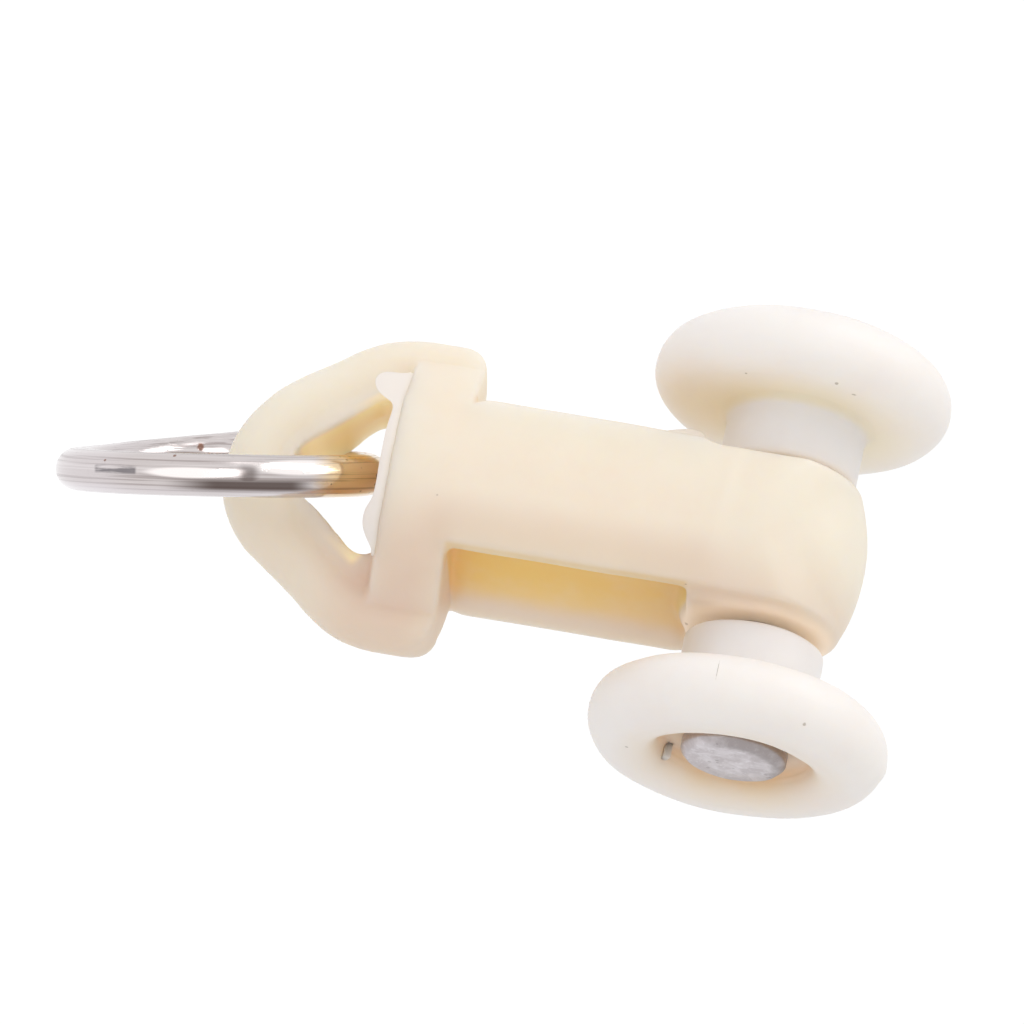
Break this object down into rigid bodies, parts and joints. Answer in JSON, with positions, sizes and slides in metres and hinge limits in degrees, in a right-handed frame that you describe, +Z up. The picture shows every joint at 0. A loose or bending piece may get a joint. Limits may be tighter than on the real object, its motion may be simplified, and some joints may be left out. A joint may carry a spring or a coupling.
{
  "type": "curtain glider",
  "caption": "Curtain glider: moulded plastic body with nylon wheels on a riveted axle, and a wire ring in its eye that a curtain hook hangs from.",
  "frame": {"origin": "on the axle's line, in the middle of the body: the point that runs along the track", "axes": "X is the wheels' axle, Y is the way the glider travels along the track, Z points up from the ring to the wheels, as it hangs in use"},
  "size_m": [0.0167, 0.0111, 0.032],
  "materials": {
    "ivory_plastic": "satin",
    "white_nylon": "satin",
    "zinc_steel": "mottled zinc plating",
    "nickel_wire": "drawn wire, nickel plated, worn, with small rust spots"
  },
  "bodies": {
    "body": {"glider_body": "ivory_plastic", "axle_rivet": "zinc_steel"},
    "left_wheel": {"wheel_left": "white_nylon"},
    "right_wheel": {"wheel_right": "white_nylon"},
    "ring": {"wire_ring": "nickel_wire"}
  },
  "joints": [
    {"name": "left_wheel_spin", "type": "hinge", "parent": "body", "child": "left_wheel", "pos_m": [0, 0, 0], "axis": [1, 0, 0], "continuous": true},
    {"name": "right_wheel_spin", "type": "hinge", "parent": "body", "child": "right_wheel", "pos_m": [0, 0, 0], "axis": [1, 0, 0], "continuous": true},
    {"name": "ring_swing", "type": "hinge", "parent": "body", "child": "ring", "pos_m": [0, 0, -0.01912], "axis": [1, 0, 0], "range_deg": [-30, 45]}
  ]
}
